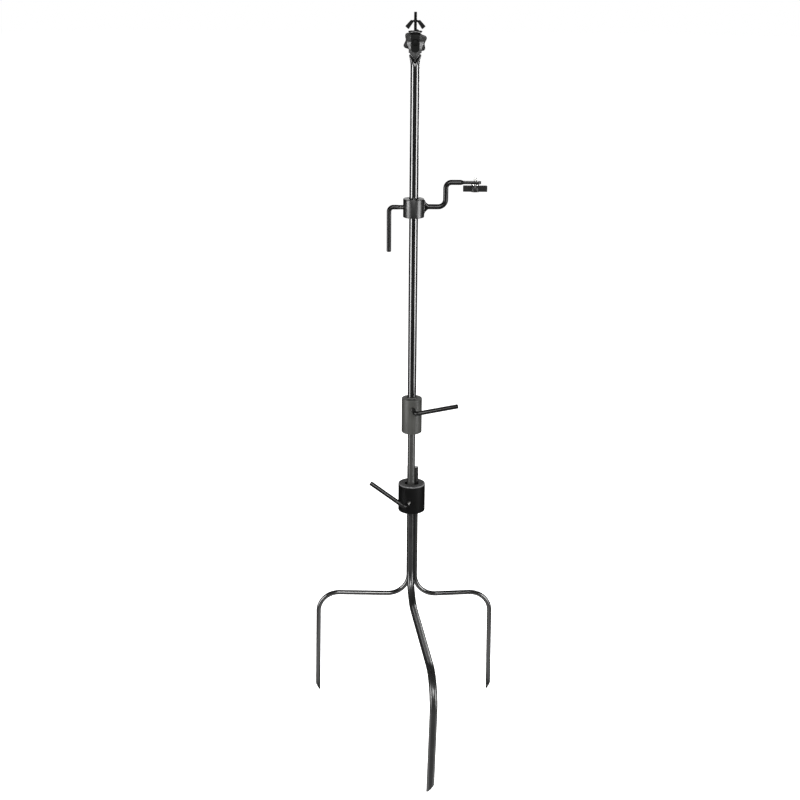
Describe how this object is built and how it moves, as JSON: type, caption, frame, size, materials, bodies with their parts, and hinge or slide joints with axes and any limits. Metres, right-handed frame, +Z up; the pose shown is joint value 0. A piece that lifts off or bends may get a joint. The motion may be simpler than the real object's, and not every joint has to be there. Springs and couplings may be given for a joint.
{
  "type": "ground-spike field stand",
  "caption": "Telescoping steel stand on bent spike legs, with sliding clamp collars, L-shaped handles, a Z-shaped camera arm and a tilting camera head.",
  "frame": {"origin": "on the ground, at the middle of the stand's footprint box; the mast's axis stands at x = 0.0145, y = 0.185", "axes": "+Z up along the mast, -Y the way the front leg points, +X the way the side arm points"},
  "size_m": [0.4237, 0.4414, 1.5869],
  "materials": {
    "black_paint": "glossy black paint over steel",
    "dark_paint": "dark grey satin finish, rubbed by the sliding collar",
    "gunmetal": "gunmetal grey satin coating",
    "zinc": "bright zinc plating",
    "brass": "turned brass",
    "nylon": "black nylon",
    "knob_plastic": "moulded black plastic"
  },
  "bodies": {
    "base": {"lower_tube": "dark_paint", "leg_collar": "black_paint"},
    "left_leg": {"left_leg_rod": "black_paint"},
    "right_leg": {"right_leg_rod": "black_paint"},
    "leg_clamp": {"leg_clamp_handle": "black_paint"},
    "plug": {"lower_tube_plug": "nylon"},
    "mast": {"mast_tube": "black_paint", "mast_collar": "gunmetal"},
    "mast_clamp": {"mast_clamp_handle": "black_paint"},
    "arm_bush": {"arm_liner": "nylon"},
    "arm": {"arm_collar": "black_paint", "arm_rod": "black_paint"},
    "arm_clamp": {"arm_clamp_handle": "black_paint"},
    "arm_screw": {"arm_camera_screw": "zinc", "arm_screw_washer": "zinc", "arm_wing_knob": "black_paint"},
    "head": {"tilt_bracket": "black_paint", "tilt_bolt": "black_paint", "tilt_washer": "zinc", "head_flange": "black_paint", "camera_stud": "black_paint"},
    "knob": {"tilt_knob": "knob_plastic", "tilt_knob_insert": "brass"},
    "wing_nut": {"jam_wing_nut": "black_paint"}
  },
  "joints": [
    {"name": "left_leg_turn", "type": "hinge", "parent": "base", "child": "left_leg", "pos_m": [0.011, 0.19922, 0.4], "axis": [0, 0, 1], "range_deg": [-85, 25]},
    {"name": "right_leg_turn", "type": "hinge", "parent": "base", "child": "right_leg", "pos_m": [0.0255, 0.19442, 0.4], "axis": [0, 0, 1], "range_deg": [-50, 85]},
    {"name": "leg_clamp_turn", "type": "hinge", "parent": "base", "child": "leg_clamp", "pos_m": [0.0145, 0.18502, 0.5104], "axis": [-0.2419, -0.9703, 0], "range_deg": [-15, 165]},
    {"name": "mast_turn", "type": "hinge", "parent": "base", "child": "plug", "pos_m": [0.0145, 0.18502, 1.28], "axis": [0, 0, 1], "continuous": true},
    {"name": "mast_slide", "type": "slide", "parent": "plug", "child": "mast", "axis": [0, 0, 1], "range_m": [-0.08, 0.4]},
    {"name": "mast_clamp_turn", "type": "hinge", "parent": "mast", "child": "mast_clamp", "pos_m": [0.0145, 0.18502, 0.7345], "axis": [0.1392, -0.9903, 0], "range_deg": [-10, 170]},
    {"name": "arm_slide", "type": "slide", "parent": "mast", "child": "arm_bush", "axis": [0, 0, 1], "range_m": [-0.2, 0.2]},
    {"name": "arm_turn", "type": "hinge", "parent": "arm_bush", "child": "arm", "pos_m": [0.0145, 0.18502, 1.1835], "axis": [0, 0, 1], "continuous": true},
    {"name": "arm_clamp_turn", "type": "hinge", "parent": "arm", "child": "arm_clamp", "pos_m": [0.0145, 0.18502, 1.1846], "axis": [-1, 0, 0], "continuous": true},
    {"name": "arm_screw_turn", "type": "hinge", "parent": "arm", "child": "arm_screw", "pos_m": [0.145, 0.18502, 1.228], "axis": [0, 0, 1], "continuous": true},
    {"name": "head_tilt", "type": "hinge", "parent": "mast", "child": "head", "pos_m": [0.0145, 0.18502, 1.5261], "axis": [0, 1, 0], "range_deg": [-90, 90]},
    {"name": "tilt_knob_turn", "type": "hinge", "parent": "head", "child": "knob", "pos_m": [0.0145, 0.18502, 1.5261], "axis": [0, 1, 0], "continuous": true},
    {"name": "wing_nut_turn", "type": "hinge", "parent": "head", "child": "wing_nut", "pos_m": [0.0145, 0.18502, 1.566], "axis": [0, 0, 1], "continuous": true}
  ]
}
